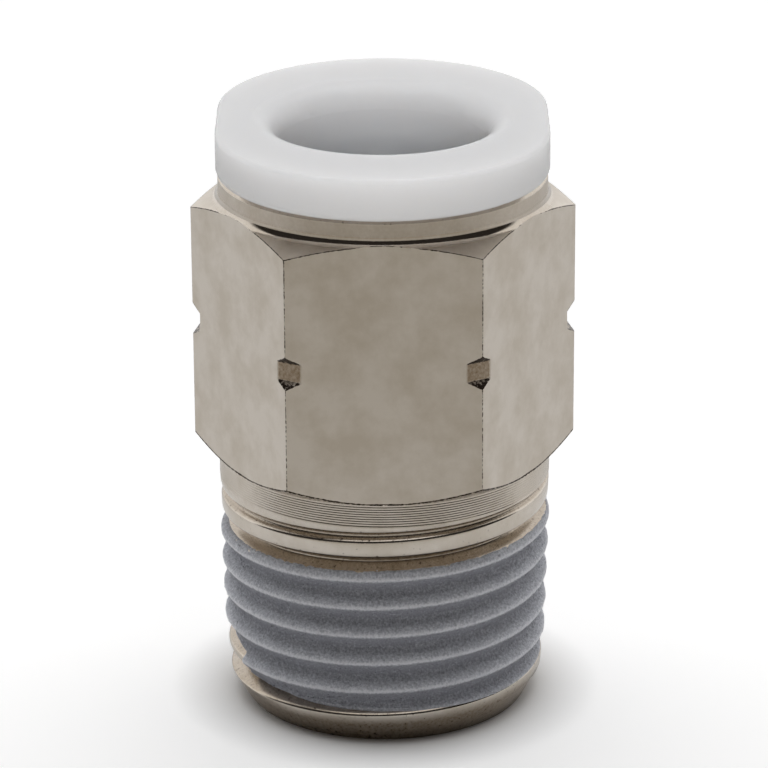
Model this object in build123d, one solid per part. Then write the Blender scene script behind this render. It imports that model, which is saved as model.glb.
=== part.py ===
from build123d import *
import os
from math import cos, radians, sin, sqrt, tan

# Straight push-in fitting for 6 mm tube with an R 1/8 taper thread.
# Millimetres, +Z up along the tube, origin at the middle of the foot of the thread.
# Two flats of the hexagon face +Y and -Y, two of its corners point to +X and -X.

# tube
tube_diameter = 6.0
tube_clearance = 0.12
socket_clearance = 0.05
tube_stop_height = 5.2

# hexagon, cut from a bar turned a little over its corners
bar_allowance = 0.02
across_flats = 9.9
hex_low_corner = 8.31
hex_high_corner = 15.41
hex_low_chamfer = 31.0
hex_high_chamfer = 27.0
corner_notch_height = 11.93
corner_notch_width = 0.54
corner_notch_depth = 0.23

# neck above the hexagon
neck_wall = 0.44
neck_top = 16.56
neck_fillet = 0.22
neck_edge = 0.1

# thread
thread_pitch = 0.907
thread_half_angle = 27.5
thread_taper = 1 / 32
crest_radius_at_gauge = 4.93
gauge_height = 5.49
thread_depth = 0.58
thread_root_width = 0.09
thread_collar_radius = 4.98
thread_collar_bottom = 7.05
runout_groove_height = 6.836
runout_groove_depth = 0.173
runout_deepening = 0.247
lowest_groove_height = 1.3
foot_radius = 4.26
foot_chamfer = 28.3
foot_ledge_height = 0.86
foot_ledge_drop = 0.08

# thread sealant
sealant_cover = 0.055
sealant_groove_depth = 0.3
sealant_root_width = 0.12
sealant_half_angle = 45.2
sealant_top = 5.7
sealant_skirt = 0.03

# passage and pocket
passage_radius = 2.0
passage_chamfer = 0.3
socket_chamfer = 0.35
pocket_step = 0.05

# tube seal
seal_height = 1.7
seal_heel = 0.7
seal_squeeze = 0.12
seal_lip_wall = 0.38
seal_bore_clearance = 0.1
seal_lip_clearance = 0.12
seal_lip_edge = 0.1
seal_groove_floor = 0.12
seal_throat = 0.15

# spacer ring
spacer_height = 1.4
spacer_rim = 0.45
spacer_cone_angle = 50.0

# grip ring
grip_clearance = 0.03
grip_sheet = 0.25
grip_bite = 0.14
grip_tooth_angle = 38.0
grip_teeth = 12
grip_slit = 0.34

# guide ring
guide_top_recess = 0.06
guide_height = 1.89
guide_lip_height = 0.6
guide_running_clearance = 0.08
guide_barb_clearance = 0.1
guide_wall = 0.43
guide_edge = 0.15

# release button
button_wall = 0.48
button_overhang = 0.01
button_stretch = 1.26
button_flange = 1.28
button_lift_off_neck = 0.344
button_mouth_round = 0.74
button_top_edge = 0.13
button_under_edge = 0.24
button_barb = 0.32
button_barb_height = 0.4
button_pull_play = 0.5
button_nose_gap = 0.05
button_nose_angle = 45.0
button_slits = 4
button_slit_width = 0.5
button_slit_reach = 0.2
button_sleeve_root = 0.1

# how far a cutting shape stands past what it cuts
cut_margin = 1.0

# sizes that follow from the ones above
tube_radius = tube_diameter / 2
corner_radius = across_flats / sqrt(3)
button_bore_radius = tube_radius + tube_clearance
socket_radius = tube_radius + socket_clearance
guide_top = neck_top - guide_top_recess
guide_lip_bottom = guide_top - guide_lip_height
guide_bottom = guide_top - guide_height
grip_top = guide_bottom - grip_clearance
grip_under = grip_top - grip_sheet
spacer_top = grip_under - grip_clearance
seal_top = spacer_top - spacer_height
pocket_floor = seal_top - seal_height
sleeve_radius = button_bore_radius + button_wall
barb_radius = sleeve_radius + button_barb
guide_seat_radius = barb_radius + guide_barb_clearance + guide_wall
neck_radius = guide_seat_radius + neck_wall
pocket_radius = guide_seat_radius - pocket_step
spacer_cone_edge = pocket_radius - spacer_rim
seal_lip_radius = tube_radius - seal_squeeze
grip_tip_radius = tube_radius - grip_bite
button_half_width = neck_radius + button_overhang
flange_bottom = neck_top + button_lift_off_neck
flange_top = flange_bottom + button_flange
barb_top = guide_lip_bottom - button_pull_play


def profile(*points):
    """Closed face in the XZ plane from radius and height pairs."""
    return make_face(Plane.XZ * Polyline(*points, close=True))


def turned(face):
    """The solid of a face turned once round the tube axis."""
    return revolve(face, axis=Axis.Z)


def crest_radius(height):
    """Radius of the thread's crest cone at a height."""
    return crest_radius_at_gauge + (height - gauge_height) * thread_taper


def foot_points():
    """Outline of the foot: its chamfer, and the ledge where the crests begin."""
    chamfer_top = foot_ledge_height - foot_ledge_drop
    return [(0, 0), (foot_radius, 0),
            (foot_radius + chamfer_top * tan(radians(foot_chamfer)), chamfer_top),
            (crest_radius(foot_ledge_height), foot_ledge_height)]


def groove_heights():
    """Heights of the thread grooves from the collar down to the foot."""
    heights = [runout_groove_height]
    while heights[-1] - thread_pitch > lowest_groove_height:
        heights.append(heights[-1] - thread_pitch)
    return heights


def groove_depth(height):
    """Depth of the groove at a height, shallow where the thread runs out."""
    turns_down = (runout_groove_height - height) / thread_pitch
    return min(thread_depth, runout_groove_depth + turns_down * runout_deepening)


def groove_points(height, surface, depth, root_width, half_angle):
    """Four points of a groove, from its lower lip up to its upper one."""
    root = surface(height) - depth
    spread = depth * tan(radians(half_angle))
    low = height - root_width / 2
    high = height + root_width / 2
    return [(surface(low - spread), low - spread), (root, low),
            (root, high), (surface(high + spread), high + spread)]


def thread_points():
    """Outline of the metal thread between the foot's ledge and the collar."""
    points = []
    for height in reversed(groove_heights()):
        points += groove_points(height, crest_radius, groove_depth(height),
                                thread_root_width, thread_half_angle)
    return points


def neck_root():
    """Corner of the neck's wall and the upper chamfer of the hexagon."""
    return hex_high_corner + (corner_radius - neck_radius) * tan(radians(hex_high_chamfer))


def turned_envelope():
    """Outside of the solid bar as the lathe leaves it."""
    low_slope = tan(radians(hex_low_chamfer))
    notch_half = corner_notch_width / 2
    rim = corner_radius + bar_allowance
    low_rim = hex_low_corner + bar_allowance * low_slope
    high_rim = hex_high_corner - bar_allowance * tan(radians(hex_high_chamfer))
    collar_meets_hex = hex_low_corner - (corner_radius - thread_collar_radius) * low_slope
    notch_floor = corner_radius - corner_notch_depth
    notch_reach = notch_half + rim - notch_floor
    outline = profile(
        *foot_points(),
        *thread_points(),
        (thread_collar_radius, thread_collar_bottom),
        (thread_collar_radius, collar_meets_hex),
        (rim, low_rim),
        (rim, corner_notch_height - notch_reach),
        (notch_floor, corner_notch_height - notch_half),
        (notch_floor, corner_notch_height + notch_half),
        (rim, corner_notch_height + notch_reach),
        (rim, high_rim),
        (neck_radius, neck_root()),
        (neck_radius, neck_top),
        (0, neck_top),
    )
    bar = turned(outline)
    root = [edge for edge in bar.edges().filter_by(GeomType.CIRCLE)
            if abs(edge.radius - neck_radius) < 1e-4 and abs(edge.center().Z - neck_root()) < 1e-3]
    bar = fillet(root, neck_fillet)
    brim = [edge for edge in bar.edges().filter_by(GeomType.CIRCLE)
            if abs(edge.radius - neck_radius) < 1e-4 and abs(edge.center().Z - neck_top) < 1e-3]
    return chamfer(brim, neck_edge)


def body_bore():
    """Passage, tube socket, pocket for the inner rings and seat of the guide."""
    return turned(profile(
        (0, -cut_margin),
        (passage_radius + passage_chamfer + cut_margin, -cut_margin),
        (passage_radius, passage_chamfer),
        (passage_radius, tube_stop_height),
        (socket_radius, tube_stop_height),
        (socket_radius, pocket_floor - socket_chamfer),
        (socket_radius + socket_chamfer, pocket_floor),
        (pocket_radius, pocket_floor),
        (pocket_radius, grip_top),
        (guide_seat_radius, guide_bottom),
        (guide_seat_radius, neck_top + cut_margin),
        (0, neck_top + cut_margin),
    ))


def hex_flats():
    """What the flats take off the turned bar."""
    low = hex_low_corner - (corner_radius - thread_collar_radius) * tan(radians(hex_low_chamfer))
    height = neck_top - low
    blank = corner_radius + cut_margin
    ring = Pos(0, 0, low) * Cylinder(blank, height, align=(Align.CENTER, Align.CENTER, Align.MIN))
    hexagon = extrude(Pos(0, 0, low) * RegularPolygon(corner_radius, 6), height)
    return ring - hexagon


def hex_body():
    """Plated brass body: hexagon, neck, taper thread and stepped bore."""
    return turned_envelope() - hex_flats() - body_bore()


def coat_radius(height):
    """Radius of the sealant's outer cone at a height."""
    return crest_radius(height) + sealant_cover


def thread_sealant():
    """Dried sealant brushed over the thread, its valleys half filled."""
    lowest = groove_heights()[-1]
    lip = thread_root_width / 2 + groove_depth(lowest) * tan(radians(thread_half_angle))
    bottom = lowest - lip - sealant_skirt
    outside = [(coat_radius(bottom), bottom)]
    inside = [(crest_radius(bottom), bottom)]
    for height in reversed(groove_heights()):
        if height < sealant_top:
            metal = groove_points(height, crest_radius, groove_depth(height),
                                  thread_root_width, thread_half_angle)
            coat = groove_points(height, coat_radius, sealant_groove_depth,
                                 sealant_root_width, sealant_half_angle)
            inside += metal
            outside += coat
    outside.append((coat_radius(sealant_top), sealant_top))
    inside.append((crest_radius(sealant_top), sealant_top))
    return turned(profile(*outside, *reversed(inside)))


def tube_seal():
    """Rubber ring, its lip leaning in on the tube on the pressure side."""
    heel = seal_top - seal_heel
    inner = socket_radius + seal_bore_clearance
    lip_foot = pocket_floor + seal_lip_clearance
    groove_outer = pocket_radius - seal_lip_wall
    groove_floor = (inner + seal_lip_wall + groove_outer) / 2
    return turned(profile(
        (inner, seal_top),
        (pocket_radius, seal_top),
        (pocket_radius, pocket_floor),
        (groove_outer, pocket_floor),
        (groove_floor + seal_groove_floor / 2, heel),
        (groove_floor - seal_groove_floor / 2, heel),
        (seal_lip_radius + seal_lip_wall, lip_foot),
        (seal_lip_radius + seal_lip_edge / 2, lip_foot),
        (seal_lip_radius, lip_foot + seal_lip_edge),
        (inner, heel + seal_throat),
    ))


def spacer_ring():
    """Resin ring between seal and grip ring, its cone backing the teeth."""
    cone_drop = (spacer_cone_edge - socket_radius) * tan(radians(spacer_cone_angle))
    return turned(profile(
        (socket_radius, seal_top),
        (pocket_radius, seal_top),
        (pocket_radius, spacer_top),
        (spacer_cone_edge, spacer_top),
        (socket_radius, spacer_top - cone_drop),
    ))


def tooth_top(radius):
    """Height of the upper side of the teeth at a radius."""
    bend = spacer_cone_edge - grip_sheet * tan(radians(grip_tooth_angle / 2))
    return grip_top - (bend - radius) * tan(radians(grip_tooth_angle))


def grip_ring():
    """Spring steel ring with teeth bent down and in to bite on the tube."""
    angle = radians(grip_tooth_angle)
    bend = spacer_cone_edge - grip_sheet * tan(angle / 2)
    tip_under = grip_tip_radius + grip_sheet * sin(angle)
    ring = turned(profile(
        (pocket_radius - grip_clearance, grip_under),
        (pocket_radius - grip_clearance, grip_top),
        (bend, grip_top),
        (grip_tip_radius, tooth_top(grip_tip_radius)),
        (tip_under, tooth_top(grip_tip_radius) - grip_sheet * cos(angle)),
        (spacer_cone_edge, grip_under),
    ))
    through = 4 * (spacer_cone_edge - grip_tip_radius)
    slit = Box(spacer_cone_edge, grip_slit, through, align=(Align.MIN, Align.CENTER, Align.CENTER))
    slit = slit + Pos(spacer_cone_edge, 0, 0) * Cylinder(grip_slit / 2, through)
    slits = [Pos(0, 0, grip_under) * Rot(0, 0, (turn + 0.5) * 360 / grip_teeth) * slit
             for turn in range(grip_teeth)]
    return ring - slits


def guide_ring():
    """Ring pressed into the neck, its lip keeping the button in."""
    lip = sleeve_radius + guide_running_clearance
    inner = barb_radius + guide_barb_clearance
    return turned(profile(
        (inner, guide_bottom),
        (guide_seat_radius - guide_edge, guide_bottom),
        (guide_seat_radius, guide_bottom + guide_edge),
        (guide_seat_radius, guide_top - guide_edge),
        (guide_seat_radius - guide_edge, guide_top),
        (lip + guide_edge, guide_top),
        (lip, guide_top - guide_edge),
        (lip, guide_lip_bottom),
        (inner, guide_lip_bottom),
    ))


def button_sleeve():
    """Slit sleeve of the button with its snap-in barb and conical nose."""
    tip = tooth_top(button_bore_radius) + button_nose_gap
    nose = tip + button_wall * tan(radians(button_nose_angle))
    sleeve = turned(profile(
        (button_bore_radius, tip),
        (sleeve_radius, nose),
        (sleeve_radius, barb_top - button_barb_height - button_barb),
        (barb_radius, barb_top - button_barb_height),
        (barb_radius, barb_top),
        (sleeve_radius, barb_top),
        (sleeve_radius, flange_bottom + button_sleeve_root),
        (button_bore_radius, flange_bottom + button_sleeve_root),
    ))
    slit_height = guide_lip_bottom + button_slit_reach - tip + cut_margin
    slit = Box(2 * barb_radius, button_slit_width, slit_height, align=(Align.MIN, Align.CENTER, Align.MIN))
    slits = [Pos(0, 0, tip - cut_margin) * Rot(0, 0, 45 + turn * 360 / button_slits) * slit
             for turn in range(button_slits)]
    return sleeve - slits


def release_button():
    """Oval push plate with a rounded mouth, one piece with its sleeve."""
    oval = Rot(0, 0, 90) * SlotCenterToCenter(2 * button_stretch, 2 * button_half_width)
    plate = extrude(Pos(0, 0, flange_bottom) * oval, button_flange)
    plate = fillet(plate.edges().group_by(Axis.Z)[-1], button_top_edge)
    plate = fillet(plate.edges().group_by(Axis.Z)[0], button_under_edge)
    plate = plate + button_sleeve()
    plate = plate - Pos(0, 0, flange_bottom) * Cylinder(button_bore_radius, 3 * button_flange)
    mouth = [edge for edge in plate.edges().filter_by(GeomType.CIRCLE)
             if abs(edge.radius - button_bore_radius) < 1e-4 and abs(edge.center().Z - flange_top) < 1e-3]
    return fillet(mouth, button_mouth_round)


if __name__ == "__main__":
    os.makedirs("parts", exist_ok=True)
    pieces = {
        "hex_body": hex_body(),
        "thread_sealant": thread_sealant(),
        "tube_seal": tube_seal(),
        "spacer_ring": spacer_ring(),
        "grip_ring": grip_ring(),
        "guide_ring": guide_ring(),
        "release_button": release_button(),
    }
    for name, piece in pieces.items():
        export_step(piece, "parts/" + name + ".step")
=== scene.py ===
import math

import bmesh
import bpy
from mathutils import Matrix, Vector, noise


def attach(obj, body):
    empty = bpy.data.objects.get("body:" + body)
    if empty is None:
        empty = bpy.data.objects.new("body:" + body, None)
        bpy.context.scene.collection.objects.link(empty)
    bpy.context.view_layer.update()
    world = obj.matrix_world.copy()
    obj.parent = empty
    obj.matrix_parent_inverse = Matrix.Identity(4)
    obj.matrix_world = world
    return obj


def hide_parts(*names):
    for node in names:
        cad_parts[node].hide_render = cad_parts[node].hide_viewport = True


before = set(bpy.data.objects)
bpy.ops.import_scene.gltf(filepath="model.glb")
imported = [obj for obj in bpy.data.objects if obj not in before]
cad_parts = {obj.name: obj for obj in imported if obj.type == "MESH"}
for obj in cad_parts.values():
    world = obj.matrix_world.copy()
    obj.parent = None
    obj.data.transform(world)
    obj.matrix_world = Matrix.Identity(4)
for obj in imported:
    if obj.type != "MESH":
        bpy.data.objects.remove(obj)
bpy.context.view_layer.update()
mm = 0.001


def smooth(x):
    x = min(max(x, 0), 1)
    return x * x * (3 - 2 * x)


def softMax(first, second, blend):
    return (first + second + math.sqrt((first - second) ** 2 + blend ** 2)) / 2


def wrapDegrees(angle):
    return (angle + 180) % 360 - 180


def turnedPiece(name, column, azimuths, attributes):
    # a closed skin through one outline for each azimuth, once round from the front
    outlines = [column(azimuth) for azimuth in azimuths]
    rows = len(outlines[0])
    vertices, values, faces = [], [], []
    for azimuth, outline in zip(azimuths, outlines):
        angle = math.radians(azimuth)
        for radius, height, *rest in outline:
            vertices.append((radius * math.cos(angle) * mm, radius * math.sin(angle) * mm, height * mm))
            values.append(rest)
    for index in range(len(azimuths) - 1):
        for place in range(rows):
            a, b = index * rows + place, index * rows + (place + 1) % rows
            faces.append((a, b, b + rows, a + rows))
    mesh = bpy.data.meshes.new(name)
    mesh.from_pydata(vertices, [], faces)
    for place, label in enumerate(attributes):
        layer = mesh.attributes.new(label, "FLOAT", "POINT")
        layer.data.foreach_set("value", [value[place] for value in values])
    work = bmesh.new()
    work.from_mesh(mesh)
    bmesh.ops.remove_doubles(work, verts=work.verts, dist=1e-7)
    bmesh.ops.dissolve_degenerate(work, edges=work.edges, dist=1e-8)
    bmesh.ops.recalc_face_normals(work, faces=work.faces)
    work.to_mesh(mesh)
    work.free()
    piece = bpy.data.objects.new(name, mesh)
    bpy.context.collection.objects.link(piece)
    return piece


def shadeSmooth(piece, angle):
    for polygon in piece.data.polygons:
        polygon.use_smooth = True
    piece.data.set_sharp_from_angle(angle=math.radians(angle))


def newMaterial(name):
    material = bpy.data.materials.new(name)
    material.use_nodes = True
    nodes = material.node_tree.nodes
    return material, nodes, material.node_tree.links, nodes["Principled BSDF"]


def objectPlace(nodes):
    return nodes.new("ShaderNodeTexCoord").outputs["Object"]


def noiseNode(nodes, links, place, size, detail, roughness=0.5):
    # size is the pattern's grain in millimetres
    pattern = nodes.new("ShaderNodeTexNoise")
    pattern.inputs["Scale"].default_value = 1 / (size * mm)
    pattern.inputs["Detail"].default_value = detail
    pattern.inputs["Roughness"].default_value = roughness
    links.new(place, pattern.inputs["Vector"])
    return pattern.outputs["Fac"]


def ramp(nodes, links, value, stops):
    node = nodes.new("ShaderNodeValToRGB")
    ends = node.color_ramp.elements
    for end, (position, color) in ((ends[0], stops[0]), (ends[1], stops[-1])):
        end.position, end.color = position, (*color, 1)
    for position, color in stops[1:-1]:
        ends.new(position).color = (*color, 1)
    links.new(value, node.inputs["Fac"])
    return node.outputs["Color"]


def remap(nodes, links, value, low, high, outLow, outHigh):
    node = nodes.new("ShaderNodeMapRange")
    for socket, number in (("From Min", low), ("From Max", high), ("To Min", outLow), ("To Max", outHigh)):
        node.inputs[socket].default_value = number
    links.new(value, node.inputs["Value"])
    return node.outputs["Result"]


def compute(nodes, links, operation, first, second=0):
    # one Math node; an input is a number or another node's output
    node = nodes.new("ShaderNodeMath")
    node.operation = operation
    for socket, value in zip(node.inputs, (first, second)):
        if isinstance(value, (int, float)):
            socket.default_value = value
        else:
            links.new(value, socket)
    return node.outputs[0]


def attribute(nodes, label):
    node = nodes.new("ShaderNodeAttribute")
    node.attribute_name = label
    return node.outputs["Fac"]


def bump(nodes, links, height, distance, strength):
    node = nodes.new("ShaderNodeBump")
    node.inputs["Strength"].default_value = strength
    node.inputs["Distance"].default_value = distance * mm
    links.new(height, node.inputs["Height"])
    return node.outputs["Normal"]


def blendColors(nodes, links, factor, first, second):
    mix = nodes.new("ShaderNodeMix")
    mix.data_type = "RGBA"
    links.new(factor, mix.inputs["Factor"])
    links.new(first, mix.inputs["A"])
    mix.inputs["B"].default_value = (*second, 1)
    return mix.outputs["Result"]


# the body: sizes in millimetres, angles in degrees
hexagon = {
    "acrossFlats": 9.9, "lowCorner": 8.31, "highCorner": 15.41, "lowChamfer": 31.0, "highChamfer": 27.0,
    "notchHeight": 11.93, "notchWidth": 0.54, "notchDepth": 0.23,
    "edge": 0.03, "edgeFade": 0.9, "cornerDrop": 0.3,  # the drop is a share of the edge
}
neck = {
    "radius": 4.89, "top": 16.56, "topEdge": 0.1, "fillet": 0.3, "filletSteps": 12,
    "brightEdge": 0.03, "footShade": 0.1, "footLine": 0.02,
}
bore = {
    "passage": 2.0, "mouth": 0.3, "stop": 5.2, "socket": 3.05, "lead": 0.35, "pocketFloor": 11.2,
    "pocket": 4.4, "seat": 4.45, "seatStart": 14.58, "seatEnd": 14.61,
}
collar = {
    "radius": 4.98, "bottom": 7.12, "markTop": 7.84, "markPitch": 0.0745, "markDepth": 0.011,
    "markCount": 9, "markGap": 0.02, "topGap": 0.005,
}
thread = {
    "pitch": 0.907, "taper": 1 / 32, "crestRadius": 4.93, "crestHeight": 5.49, "depth": 0.58,
    "rootWidth": 0.09, "halfAngle": 27.5, "firstGroove": 6.836, "firstDepth": 0.173, "deepening": 0.247,
    "grooves": 10, "lip": 0.09, "root": 0.03, "start": 0.75, "startLength": 0.25,
    "rootShade": 0.55, "shadeDepth": 0.08, "rootDull": 0.6, "brightDepth": 0.01,
    "rootBlackShade": 0.2, "blackShadeDepth": 0.02,
}
foot = {"radius": 4.26, "chamfer": 28.3, "ledge": 0.86, "ledgeDrop": 0.08, "edge": 0.03, "shade": 0.85}
columnStep = 1.2  # degrees from one outline to the next, round the body

# polish, painted shade and painted near-black lines along the body's outline: the shade darkens the neck
# under the button, the notches, the grooves' roots and the foot, and is partly the bare brass's own brown in
# the notches; the black lines sit at the edges, in the notches and in the roots, where the metal shows dark
# reflections and shade
finishAndShade = {
    "plain": (0, 0, 0), "neckTop": (0, 0.2, 0), "neckEdge": (0.5, 0.2, 0), "neckRim": (0.4, 0.25, 0.2),
    "neckWall": (0, 0.25, 0), "lowNeck": (0, 0.3, 0), "neckFoot": (0.7, 0.5, 0.1), "fillet": (1, 0.3, 0),
    "filletEnd": (0.3, 0.3, 0), "highChamfer": (0, 0, 0.1), "highEdge": (0.3, 0.5, 1),
    "corner": (0, 0, 0.75), "notchEdge": (0, 0, 1), "notchTop": (0.3, 1, 0.6), "notchFloor": (0.6, 1, 0.15),
    "notchFoot": (0.6, 0.8, 0.4), "notchLip": (0.3, 0.4, 0.8), "lowEdge": (0.2, 0.5, 1),
    "lowChamfer": (0, 0.3, 0.5), "collarEdge": (0.2, 0.1, 0.35), "collar": (0, 0.05, 0),
    "mark": (0.55, 0.1, 0), "footEdge": (0.3, 0.8, 0.3), "footFace": (0, 0.3, 0),
}
# the shaded brown is painted shade and the near-black is painted dark reflections and shade; the clear and
# stained tones are the plating's own clouds
plating = {
    "clear": (0.72, 0.66, 0.585), "stained": (0.62, 0.555, 0.47), "shaded": (0.27, 0.205, 0.14),
    "blackShadeColor": (0.035, 0.024, 0.017), "roughness": 0.37, "polished": 0.1, "cloudSize": 1.3,
    "stainedUpTo": 0.36, "clearFrom": 0.62, "grainSize": 0.035, "grainHeight": 0.0016, "grainStrength": 0.6,
    "ragSize": 0.09, "ragShade": 0.7, "ragBlackShade": 0.45, "blackShadeFrom": 0.42, "blackShadeFull": 0.66,
}


def hexRadius(azimuth):
    return hexagon["acrossFlats"] / 2 / math.cos(math.radians(azimuth % 60 - 30))


cornerRadius = hexRadius(0)
cornerEdge = math.degrees(hexagon["edge"] / cornerRadius)
notchFloor = cornerRadius - hexagon["notchDepth"]
tanLow = math.tan(math.radians(hexagon["lowChamfer"]))
tanHigh = math.tan(math.radians(hexagon["highChamfer"]))
tanFlank = math.tan(math.radians(thread["halfAngle"]))


def row(radius, height, kind, share=1.0):
    # one point of an outline: radius, height and the share of its polish, painted shade and painted black
    # lines
    return (radius, height, *(share * amount for amount in finishAndShade[kind]))


def shoulder(radius):
    # height of the neck's fillet and of the upper chamfer at a radius
    cone = hexagon["highCorner"] + (cornerRadius - radius) * tanHigh
    size = neck["fillet"]
    slope = math.radians(hexagon["highChamfer"])
    centre = neck["radius"] + size
    if radius >= centre - size * math.sin(slope):
        return cone
    root = hexagon["highCorner"] + (cornerRadius - neck["radius"]) * tanHigh
    middle = root - size * tanHigh + size / math.cos(slope)
    return middle - math.sqrt(max(size ** 2 - (centre - radius) ** 2, 0))


def crest(height):
    radius = thread["crestRadius"] + (height - thread["crestHeight"]) * thread["taper"]
    return min(radius, collar["radius"])


def grooveDepth(height):
    turns = (thread["firstGroove"] - height) / thread["pitch"]
    depth = min(max(thread["firstDepth"] + turns * thread["deepening"], 0), thread["depth"])
    return depth * smooth((height - thread["start"]) / thread["startLength"])


def grooveCentres(azimuth):
    # the right-hand helix, counted from the front and from the run-out down
    first = thread["firstGroove"] + (azimuth + 90) / 360 * thread["pitch"]
    return [first - (turn - 1) * thread["pitch"] for turn in range(thread["grooves"])]


def footRadius(height):
    # the foot's chamfer, and the ledge over it where the crests begin
    chamferTop = foot["ledge"] - foot["ledgeDrop"]
    slope = math.tan(math.radians(foot["chamfer"]))
    rim = foot["radius"] + chamferTop * slope
    ledge = rim + (height - chamferTop) * (crest(foot["ledge"]) - rim) / foot["ledgeDrop"]
    return max(foot["radius"] + height * slope, ledge)


def threadRadius(height, azimuth):
    # the deepest groove at this height, with its lips and its root rounded
    farthest = -0.2  # a groove farther off than this can't be felt
    cut = 0
    for centre in grooveCentres(azimuth):
        depth = grooveDepth(centre)
        opening = depth - (abs(height - centre) - thread["rootWidth"] / 2) / tanFlank
        if depth > 0 and opening > farthest:
            rounded = softMax(opening, 0, thread["lip"] * min(depth / thread["firstDepth"], 1))
            cut = max(cut, -softMax(-depth, -rounded, thread["root"]))
    return -softMax(cut - crest(height), -footRadius(height), foot["edge"])


def threadHeights(azimuth):
    # the rows of an outline over each groove, closest at its lips and its root, from the top down
    beyondLip = (0.1, 0.05, 0.03, 0.015, 0)
    underLip = ((0.015, 0.85), (0.03, 0.7), (0.05, 0.5))  # a distance, and the least share of the flank
    heights = []
    for centre in grooveCentres(azimuth):
        half = thread["rootWidth"] / 2
        flank = grooveDepth(centre) * tanFlank
        side = [half + flank + step for step in beyondLip]
        side += [half + max(flank - step, flank * share) for step, share in underLip]
        side += [half + flank * 0.4, half + flank * 0.1, half * 0.5]
        heights += [centre + step for step in side]
        heights += [centre - step for step in reversed(side)]
    return [min(max(height, foot["edge"]), collar["bottom"]) for height in heights]


def bodyAzimuths():
    # even steps, with more outlines at the corners' edges and at the ends of their notches
    reach = 30 - math.degrees(math.acos(hexagon["acrossFlats"] / 2 / notchFloor))
    azimuths = {round(-90 + step * columnStep, 4) for step in range(round(360 / columnStep) + 1)}
    for corner in range(-60, 300, 60):
        for offset in (cornerEdge, reach, reach + 0.1):
            azimuths |= {round(corner - offset, 4), round(corner + offset, 4)}
    return sorted(azimuths)


def neckRows(flat):
    # from the seat of the guide ring over the neck's top, wall and fillet to the hexagon's upper edge
    radius, top, edge = neck["radius"], neck["top"], neck["topEdge"]
    wallEnd = shoulder(radius)
    rows = [row(bore["seat"], top, "neckTop"), row(radius - edge, top, "neckEdge")]
    rows += [row(radius, top - edge, "neckRim"), row(radius, top - edge - neck["brightEdge"], "neckWall")]
    rows += [row(radius, wallEnd + neck["footShade"], "lowNeck")]
    rows += [row(radius, wallEnd + neck["footLine"], "neckFoot")]
    for step in range(neck["filletSteps"] + 1):
        turn = math.radians(90 - (90 - hexagon["highChamfer"]) * step / neck["filletSteps"])
        reach = min(radius + neck["fillet"] * (1 - math.sin(turn)), flat)
        rows.append(row(reach, shoulder(reach), "fillet" if step < neck["filletSteps"] else "filletEnd"))
    filletEnd = radius + neck["fillet"] * (1 - math.sin(math.radians(hexagon["highChamfer"])))
    outer = max(flat - hexagon["edge"], min(filletEnd, flat))
    return rows + [row(outer, shoulder(outer), "highChamfer"), row(flat, shoulder(flat), "highEdge")]


def hexagonRows(flat, corner):
    # down a flat, or down a corner and through the turned notch that reaches the corners alone
    edge = hexagon["edge"]
    middle = hexagon["notchHeight"]
    half = hexagon["notchWidth"] / 2
    reach = half + max(flat - notchFloor, 0)
    inside = min(flat, notchFloor)
    cut = 1 if flat > notchFloor + 0.001 else 0
    rows = [row(flat, shoulder(flat) - edge, "corner", corner)]
    rows += [row(flat, middle + reach + edge, "corner", corner)]
    rows += [row(flat, middle + reach, "notchEdge", cut), row(inside, middle + half, "notchTop", cut)]
    rows += [row(inside, middle + side * (half - edge), "notchFloor", cut) for side in (1, -1)]
    rows += [row(inside, middle - half, "notchFoot", cut), row(flat, middle - reach, "notchLip", cut)]
    return rows + [row(flat, middle - reach - edge, "corner", corner)]


def collarRows(flat, corner):
    # the hexagon's lower edge and chamfer, then the collar and its fine turning marks
    edge = hexagon["edge"]
    radius, pitch = collar["radius"], collar["markPitch"]
    lower = max(flat, radius)
    under = hexagon["lowCorner"] - (cornerRadius - lower) * tanLow
    top = hexagon["lowCorner"] - (cornerRadius - radius) * tanLow - edge
    rows = [row(flat, under + edge, "corner", corner), row(flat, under, "lowEdge")]
    rows += [row(lower, under - edge, "lowChamfer"), row(radius, top, "collarEdge")]
    rows += [row(radius, min(collar["markTop"], top - collar["topGap"]), "collar")]
    for mark in range(collar["markCount"]):
        start = collar["markTop"] - collar["markGap"] - mark * pitch
        for share, depth in ((0.0, 0), (0.25, 1), (0.5, 1), (0.75, 0)):
            rows.append(row(radius - depth * collar["markDepth"], start - share * pitch, "mark"))
    return rows


def threadRows(azimuth):
    # the polish, the painted shade and the painted black line in the roots follow how deep a point lies under
    # the crests
    rows = []
    for height in threadHeights(azimuth):
        radius = threadRadius(height, azimuth)
        sunk = crest(height) - radius
        deep = smooth(sunk / thread["shadeDepth"])
        polish = smooth(sunk / thread["brightDepth"]) * (1 - thread["rootDull"] * deep)
        shade = (thread["rootShade"] if height > foot["ledge"] else foot["shade"]) * deep
        # a painted near-black line in the roots, where the groove lies in shade
        blackShade = thread["rootBlackShade"] * smooth(sunk / thread["blackShadeDepth"])
        rows.append((radius, height, polish, shade, blackShade))
    return rows


def boreRows():
    # under the foot and up the passage, the tube's socket and the pocket to the guide ring's seat
    passage, socket, pocket, floor = bore["passage"], bore["socket"], bore["pocket"], bore["pocketFloor"]
    rows = [row(foot["radius"] - foot["edge"], 0, "footEdge")]
    rows += [row(passage + bore["mouth"], 0, "footFace"), row(passage, bore["mouth"], "footFace")]
    inside = [(passage, bore["stop"]), (socket, bore["stop"]), (socket, floor - bore["lead"])]
    inside += [(socket + bore["lead"], floor), (pocket, floor), (pocket, bore["seatStart"])]
    inside += [(bore["seat"], bore["seatEnd"])]
    return rows + [row(radius, height, "plain") for radius, height in inside]


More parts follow.
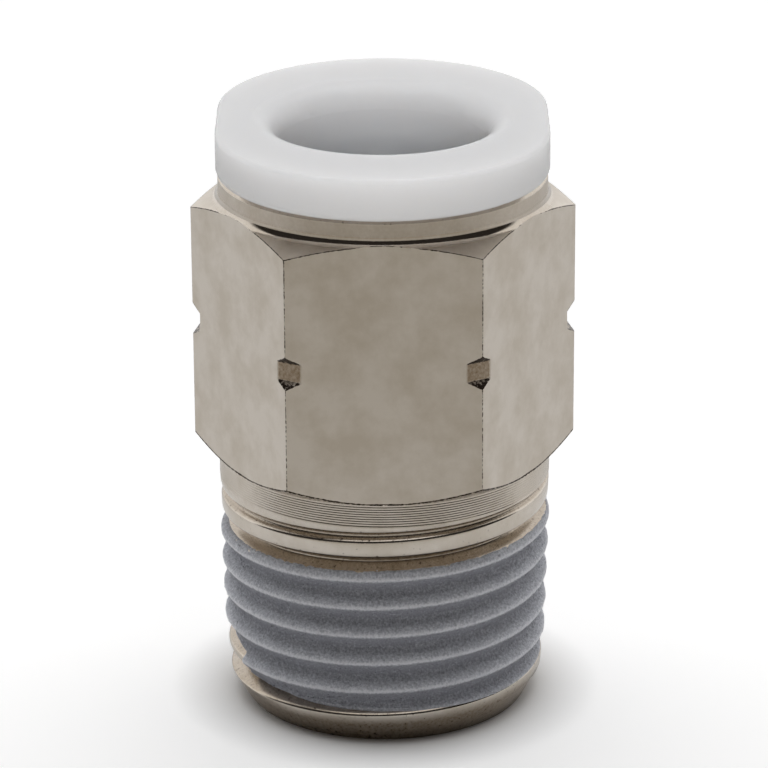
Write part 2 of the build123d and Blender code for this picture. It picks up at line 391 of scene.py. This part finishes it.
def bodyColumn(azimuth):
    # once round the body's outline, from the neck's top down and back up the bore
    away = abs((azimuth + 30) % 60 - 30)
    corner = smooth(1 - away / cornerEdge * hexagon["edgeFade"])
    flat = hexRadius(azimuth) - hexagon["edge"] * hexagon["cornerDrop"] * corner
    outside = neckRows(flat) + hexagonRows(flat, corner) + collarRows(flat, corner)
    return outside + threadRows(azimuth) + boreRows()


def platedBrass():
    material, nodes, links, shader = newMaterial("platedBrass")
    place = objectPlace(nodes)
    clouds = noiseNode(nodes, links, place, plating["cloudSize"], 5, 0.65)
    stops = [(plating["stainedUpTo"], plating["stained"]), (plating["clearFrom"], plating["clear"])]
    clean = ramp(nodes, links, clouds, stops)
    rag = noiseNode(nodes, links, place, plating["ragSize"], 3)
    ragShade = remap(nodes, links, rag, 0.3, 0.6, plating["ragShade"], 1)
    shade = compute(nodes, links, "MULTIPLY", attribute(nodes, "shade"), ragShade)
    # the shade mixes the plating towards the shaded brown: painted shade in the hollows and under the button
    brown = blendColors(nodes, links, shade, clean, plating["shaded"])
    # ragged near-black lines painted where the metal shows dark reflections and shade: along the edges, in
    # the notches, in the grooves' roots and at the neck's fillet
    ragBlackShade = remap(nodes, links, rag, 0.25, 0.75, -plating["ragBlackShade"], plating["ragBlackShade"])
    ragged = compute(nodes, links, "ADD", attribute(nodes, "blackShade"), ragBlackShade)
    blackShade = remap(nodes, links, ragged, plating["blackShadeFrom"], plating["blackShadeFull"], 0, 1)
    links.new(blendColors(nodes, links, blackShade, brown, plating["blackShadeColor"]), shader.inputs["Base Color"])
    shader.inputs["Metallic"].default_value = 1
    polish = attribute(nodes, "polish")
    gloss = remap(nodes, links, polish, 0, 1, plating["roughness"], plating["polished"])
    links.new(gloss, shader.inputs["Roughness"])
    grain = noiseNode(nodes, links, place, plating["grainSize"], 3)
    uneven = bump(nodes, links, grain, plating["grainHeight"], plating["grainStrength"])
    links.new(uneven, shader.inputs["Normal"])
    return material


print("building the body")
body = turnedPiece("hexBody", bodyColumn, bodyAzimuths(), ["polish", "shade", "blackShade"])
shadeSmooth(body, 40)
body.data.materials.append(platedBrass())
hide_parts("hex_body")
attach(body, "fitting body")

# the dried coat over the thread: millimetres, with angles round the fitting in degrees
sealant = {
    "cover": 0.055, "depth": 0.29, "valleyShape": 1.15, "thinnest": 0.012, "sunkEdge": 0.004,
    "topFront": 5.74, "frontReach": 130, "bottomFront": 1.1, "startAzimuth": -153.0, "startStep": 0.78,
    "sideRise": 0.2, "sideStart": 90, "sideLength": 90, "backStart": 170, "backLength": 175,
    "tip": 0.05, "tipLength": 40, "feather": 0.1, "inside": 0.1, "rowsPerTurn": 28, "turns": 9,
    "lumps": 0.014, "lumpSize": 0.16, "fineLumps": 0.6, "fineness": 2.7,
}
# the coat's tone is painted light: 0 for the painted shade in the valleys and 1 for the painted highlight on
# the crests; its places are shares of half a turn
coatShading = {
    "crestFrom": 0.74, "crestLength": 0.24, "valley": 0.1, "rise": 0.6,
    "nextCrest": 0.3, "nextFrom": 0.8, "nextLength": 0.2,
}
# the crest colour is a painted highlight and the valley colour painted shade; the speckles are the coat's own
# dark and light grains
coatLook = {
    "crest": (0.94, 0.95, 1.0), "flank": (0.66, 0.675, 0.73), "valley": (0.31, 0.317, 0.36),
    "flankTone": 0.55, "crestTone": 0.95, "speckleSize": 0.075, "darker": -0.4, "lighter": 0.36,
    "grainSize": 0.05, "grainHeight": 0.04, "grainStrength": 0.8, "roughness": 0.75,
}
# dark grains in the coat: how many on a square millimetre, and their radii
grains = {"Density": 30.0, "Smallest": 0.011, "Largest": 0.034, "Seed": 4}


def coatTop(azimuth):
    # the upper end follows the helix on the crest below the run-out, and steps back behind
    turn = wrapDegrees(azimuth + 90)
    reach = sealant["frontReach"]
    back = (180 - abs(turn)) * reach / (180 - reach)
    rise = math.copysign(min(abs(turn), back), turn)
    return sealant["topFront"] + rise / 360 * thread["pitch"]


def coatBottom(azimuth):
    # the lower end rises in two stages from where the brush began, and ends a step above its start
    turn = (azimuth - sealant["startAzimuth"]) % 360
    side, whole = sealant["sideRise"], sealant["startStep"]
    rise = side * smooth((turn - sealant["sideStart"]) / sealant["sideLength"])
    rise += (whole - side) * smooth((turn - sealant["backStart"]) / sealant["backLength"])
    return sealant["bottomFront"] + sealant["tip"] * smooth(1 - turn / sealant["tipLength"]) + rise


def coatRadius(height, azimuth, way, cover):
    # a soft valley over each groove; the coat thins out at its ends and sinks into the metal there
    valley = sealant["depth"] * (0.5 + 0.5 * math.cos(math.pi * abs(way) ** sealant["valleyShape"]))
    coat = crest(height) + sealant["cover"] - valley
    metal = threadRadius(height, azimuth)
    return metal + max(coat - metal, sealant["thinnest"]) * cover - sealant["sunkEdge"] * (1 - cover)


def paintedCoatShading(way):
    # painted shade, dark from a valley up to just under the next crest, and lighter bit by bit down to the
    # crest below; the crests carry a painted highlight
    if way > 0:
        return smooth((way - coatShading["crestFrom"]) / coatShading["crestLength"])
    nextCrest = coatShading["nextCrest"] * smooth((-way - coatShading["nextFrom"]) / coatShading["nextLength"])
    return coatShading["valley"] - coatShading["rise"] * way + nextCrest


def coatColumn(azimuth):
    top, bottom = coatTop(azimuth), coatBottom(azimuth)
    first = grooveCentres(azimuth)[0]
    rows, size = sealant["rowsPerTurn"], sealant["lumpSize"]
    x, y = math.cos(math.radians(azimuth)), math.sin(math.radians(azimuth))
    points = []
    for index in range(rows * sealant["turns"] + 1):
        height = min(max(first - index * thread["pitch"] / rows, bottom), top)
        cover = smooth(min(top - height, height - bottom) / sealant["feather"])
        way = wrapDegrees((height - first) / thread["pitch"] * 360) / 180  # 0 in a valley, 1 and -1 on crests
        radius = coatRadius(height, azimuth, way, cover)
        where = Vector((radius * x, radius * y, height))
        fine = noise.noise(where / size * sealant["fineness"])
        lump = noise.noise(where / size) + sealant["fineLumps"] * fine
        points.append((radius + lump * sealant["lumps"] * cover, height, paintedCoatShading(way), cover))
    inner = crest(0) - thread["depth"] - sealant["inside"]
    return points + [(inner, bottom, 0, 0), (inner, top, 0, 0)]


def driedSealant():
    material, nodes, links, shader = newMaterial("driedSealant")
    place = objectPlace(nodes)
    speckle = noiseNode(nodes, links, place, coatLook["speckleSize"], 4, 0.7)
    shift = remap(nodes, links, speckle, 0.3, 0.7, coatLook["darker"], coatLook["lighter"])
    # the coat's painted shade and highlight, shifted by its own speckles
    shifted = compute(nodes, links, "ADD", attribute(nodes, "coatShading"), shift)
    stops = [(0.0, coatLook["valley"]), (coatLook["flankTone"], coatLook["flank"])]
    stops += [(coatLook["crestTone"], coatLook["crest"])]
    links.new(ramp(nodes, links, shifted, stops), shader.inputs["Base Color"])
    shader.inputs["Roughness"].default_value = coatLook["roughness"]
    grain = noiseNode(nodes, links, place, coatLook["grainSize"], 3)
    uneven = bump(nodes, links, grain, coatLook["grainHeight"], coatLook["grainStrength"])
    links.new(uneven, shader.inputs["Normal"])
    return material


def namedAttribute(nodes, label):
    node = nodes.new("GeometryNodeInputNamedAttribute")
    node.inputs["Name"].default_value = label
    return node.outputs["Attribute"]


def grainTree(material):
    # small balls on the coat's outer side, most of them in the valleys
    tree = bpy.data.node_groups.new("driedGrains", "GeometryNodeTree")
    sockets = {}
    tree.interface.new_socket(name="Geometry", in_out="INPUT", socket_type="NodeSocketGeometry")
    for label, kind in (("Density", "Float"), ("Smallest", "Float"), ("Largest", "Float"), ("Seed", "Int")):
        item = tree.interface.new_socket(name=label, in_out="INPUT", socket_type="NodeSocket" + kind)
        sockets[label] = item.identifier
    tree.interface.new_socket(name="Geometry", in_out="OUTPUT", socket_type="NodeSocketGeometry")
    nodes, links = tree.nodes, tree.links
    given = nodes.new("NodeGroupInput").outputs
    inValley = compute(nodes, links, "SUBTRACT", 1.1, namedAttribute(nodes, "coatShading"))
    share = compute(nodes, links, "MULTIPLY", inValley, namedAttribute(nodes, "outer"))
    scatter = nodes.new("GeometryNodeDistributePointsOnFaces")
    links.new(given["Geometry"], scatter.inputs["Mesh"])
    links.new(compute(nodes, links, "MULTIPLY", share, given["Density"]), scatter.inputs["Density"])
    links.new(given["Seed"], scatter.inputs["Seed"])
    grain = nodes.new("GeometryNodeMeshIcoSphere")
    grain.inputs["Radius"].default_value = 1
    size = nodes.new("FunctionNodeRandomValue")
    links.new(given["Smallest"], size.inputs[2])
    links.new(given["Largest"], size.inputs[3])
    place = nodes.new("GeometryNodeInstanceOnPoints")
    links.new(scatter.outputs["Points"], place.inputs["Points"])
    links.new(grain.outputs["Mesh"], place.inputs["Instance"])
    links.new(scatter.outputs["Rotation"], place.inputs["Rotation"])
    links.new(size.outputs[1], place.inputs["Scale"])
    join = nodes.new("GeometryNodeJoinGeometry")
    links.new(given["Geometry"], join.inputs["Geometry"])
    links.new(place.outputs["Instances"], join.inputs["Geometry"])
    real = nodes.new("GeometryNodeRealizeInstances")
    links.new(join.outputs["Geometry"], real.inputs["Geometry"])
    paint = nodes.new("GeometryNodeSetMaterial")
    paint.inputs["Material"].default_value = material
    links.new(real.outputs["Geometry"], paint.inputs["Geometry"])
    links.new(paint.outputs["Geometry"], nodes.new("NodeGroupOutput").inputs["Geometry"])
    return tree, sockets


def scatterGrains(piece):
    modifier = piece.modifiers.new("driedGrains", "NODES")
    modifier.node_group, sockets = grainTree(piece.data.materials[0])
    scales = {"Density": mm ** -2, "Smallest": mm, "Largest": mm, "Seed": 1}
    for label, identifier in sockets.items():
        modifier[identifier] = grains[label] * scales[label]
    piece.update_tag()
    graph = bpy.context.evaluated_depsgraph_get()
    solid = piece.evaluated_get(graph)
    mesh = bpy.data.meshes.new_from_object(solid, preserve_all_data_layers=True, depsgraph=graph)
    piece.modifiers.clear()
    piece.data = mesh


print("building the sealant")
coat = turnedPiece("driedCoat", coatColumn, [step - 90 for step in range(361)], ["coatShading", "outer"])
shadeSmooth(coat, 70)
coat.data.materials.append(driedSealant())

print("scattering the coat's dark grains")
scatterGrains(coat)
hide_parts("thread_sealant")
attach(coat, "fitting body")

# the moulded pieces and the metal rings keep their CAD shapes and take these finishes
button = {"color": (0.62, 0.62, 0.63), "roughness": 0.24, "scatter": 1.0, "grainSize": 0.5}
spacer = {"color": (0.72, 0.71, 0.67), "roughness": 0.4, "scatter": 0.1, "grainSize": 0.3}
seal = {"color": (0.02, 0.02, 0.02), "roughness": 0.45, "scatter": 0, "grainSize": 0.2}
steel = {"color": (0.6, 0.59, 0.57), "smoothest": 0.2, "roughest": 0.36, "grainSize": 0.06}


def moulded(name, color, roughness, scatter, grainSize):
    material, nodes, links, shader = newMaterial(name)
    shader.inputs["Base Color"].default_value = (*color, 1)
    shader.inputs["Roughness"].default_value = roughness
    shader.inputs["Subsurface Weight"].default_value = scatter
    shader.inputs["Subsurface Radius"].default_value = (1.0, 0.95, 0.9)
    shader.inputs["Subsurface Scale"].default_value = 3 * mm
    grain = noiseNode(nodes, links, objectPlace(nodes), grainSize, 3)
    links.new(bump(nodes, links, grain, 0.003, 0.4), shader.inputs["Normal"])
    return material


def springSteel():
    material, nodes, links, shader = newMaterial("springSteel")
    grain = noiseNode(nodes, links, objectPlace(nodes), steel["grainSize"], 3)
    shader.inputs["Base Color"].default_value = (*steel["color"], 1)
    shader.inputs["Metallic"].default_value = 1
    uneven = remap(nodes, links, grain, 0.3, 0.7, steel["smoothest"], steel["roughest"])
    links.new(uneven, shader.inputs["Roughness"])
    return material


def dress(node, material):
    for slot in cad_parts[node].material_slots:
        slot.material = material


print("dressing the inner rings and the button")
dress("release_button", moulded("whiteAcetal", **button))
dress("spacer_ring", moulded("innerAcetal", **spacer))
dress("tube_seal", moulded("blackRubber", **seal))
dress("grip_ring", springSteel())
dress("guide_ring", springSteel())

# the floor and the light: metres here, and degrees for the world; the floor's near colour is painted shade
studio = {
    "white": (1.0, 1.0, 1.0), "dark": (0.03, 0.027, 0.025), "lowEdge": -2, "highEdge": 58, "halfWidth": 100,
    "softness": 4, "floorSize": 3.0, "shadedNearFloor": (0.69, 0.665, 0.615), "floorFar": (0.95, 0.95, 0.95),
    "fadeStart": -0.03, "fadeEnd": -0.014, "lift": 0.36, "liftStart": 0.0044, "liftEnd": 0.0066,
}
topLamp = {"place": (0, 0.05, 0.6), "aim": (0, 0, 0.01), "size": 0.5, "power": 0.35}
frontLamp = {"place": (0, -0.545, 0.25), "aim": (0, 0, 0.017), "size": 0.25, "power": 2.2}
# the camera's place, tilt and lens, recovered from the hexagon's corners in the photograph
view = {"height": 56.905, "back": 125.55, "pitch": 20.577, "roll": 0.337, "lens": 209.0, "sensor": 36.0}


def studioWorld():
    # white all round and above, apart from a dark room on the camera's side
    world = bpy.data.worlds.new("studio")
    bpy.context.scene.world = world
    world.use_nodes = True
    nodes, links = world.node_tree.nodes, world.node_tree.links
    sky = nodes["Background"]
    split = nodes.new("ShaderNodeSeparateXYZ")
    links.new(nodes.new("ShaderNodeTexCoord").outputs["Generated"], split.inputs[0])
    toDegrees = 180 / math.pi
    climb = compute(nodes, links, "ARCSINE", split.outputs["Z"])
    elevation = compute(nodes, links, "MULTIPLY", climb, toDegrees)
    forward = compute(nodes, links, "MULTIPLY", split.outputs["Y"], -1)
    sideways = compute(nodes, links, "ARCTAN2", split.outputs["X"], forward)
    wide = compute(nodes, links, "ABSOLUTE", compute(nodes, links, "MULTIPLY", sideways, toDegrees))
    soft = studio["softness"]
    below = remap(nodes, links, elevation, studio["highEdge"] - soft, studio["highEdge"] + soft, 1, 0)
    above = remap(nodes, links, elevation, studio["lowEdge"] - soft, studio["lowEdge"] + soft, 0, 1)
    inside = remap(nodes, links, wide, studio["halfWidth"] - soft, studio["halfWidth"] + soft, 1, 0)
    card = compute(nodes, links, "MULTIPLY", compute(nodes, links, "MULTIPLY", below, above), inside)
    links.new(ramp(nodes, links, card, [(0, studio["white"]), (1, studio["dark"])]), sky.inputs["Color"])
    sky.inputs["Strength"].default_value = 1


def paleFloor():
    # matt; for the camera alone it is lifted to white, but not close to the foot, where the shadow lies
    half = studio["floorSize"] / 2
    mesh = bpy.data.meshes.new("floor")
    corners = [(-half, -half, 0), (half, -half, 0), (half, half, 0), (-half, half, 0)]
    mesh.from_pydata(corners, [], [(0, 1, 2, 3)])
    floor = bpy.data.objects.new("floor", mesh)
    bpy.context.collection.objects.link(floor)
    material, nodes, links, shader = newMaterial("paleFloor")
    split = nodes.new("ShaderNodeSeparateXYZ")
    links.new(objectPlace(nodes), split.inputs[0])
    # towards the camera the floor turns darker: painted shade, which the metal's front faces reflect
    far = remap(nodes, links, split.outputs["Y"], studio["fadeStart"], studio["fadeEnd"], 0, 1)
    color = ramp(nodes, links, far, [(0, studio["shadedNearFloor"]), (1, studio["floorFar"])])
    links.new(color, shader.inputs["Base Color"])
    shader.inputs["Roughness"].default_value = 0.9
    shader.inputs["Specular IOR Level"].default_value = 0
    shader.inputs["Emission Color"].default_value = (1, 1, 1, 1)
    across = nodes.new("ShaderNodeVectorMath")
    across.operation = "LENGTH"
    links.new(objectPlace(nodes), across.inputs[0])
    away = across.outputs["Value"]
    lift = remap(nodes, links, away, studio["liftStart"], studio["liftEnd"], 0, studio["lift"])
    seen = nodes.new("ShaderNodeLightPath").outputs["Is Camera Ray"]
    links.new(compute(nodes, links, "MULTIPLY", lift, seen), shader.inputs["Emission Strength"])
    floor.data.materials.append(material)


def softLamp(name, values, lit=None):
    # where a piece is given, the lamp lights it alone and isn't mirrored in anything
    light = bpy.data.lights.new(name, "AREA")
    light.size = values["size"]
    light.energy = values["power"]
    lamp = bpy.data.objects.new(name, light)
    lamp.location = values["place"]
    aim = Vector(values["aim"]) - Vector(values["place"])
    lamp.rotation_euler = aim.to_track_quat("-Z", "Y").to_euler()
    bpy.context.collection.objects.link(lamp)
    if lit is not None:
        lamp.visible_glossy = False
        lamp.light_linking.receiver_collection = bpy.data.collections.new(name + "Lit")
        lamp.light_linking.receiver_collection.objects.link(lit)


def photographCamera():
    data = bpy.data.cameras.new("camera")
    data.lens = view["lens"]
    data.sensor_width = view["sensor"]
    data.clip_start = 0.001
    data.clip_end = 20
    camera = bpy.data.objects.new("camera", data)
    place = Vector((0, -view["back"] * mm, view["height"] * mm))
    aim = Vector((0, math.cos(math.radians(view["pitch"])), -math.sin(math.radians(view["pitch"]))))
    turn = aim.to_track_quat("-Z", "Y").to_matrix().to_4x4()
    roll = Matrix.Rotation(math.radians(-view["roll"]), 4, "Z")
    camera.matrix_world = Matrix.Translation(place) @ turn @ roll
    bpy.context.collection.objects.link(camera)
    bpy.context.scene.camera = camera


print("setting the studio")
studioWorld()
paleFloor()
softLamp("topLamp", topLamp)
softLamp("frontLamp", frontLamp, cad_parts["release_button"])
photographCamera()
bpy.context.scene.view_settings.view_transform = "Standard"
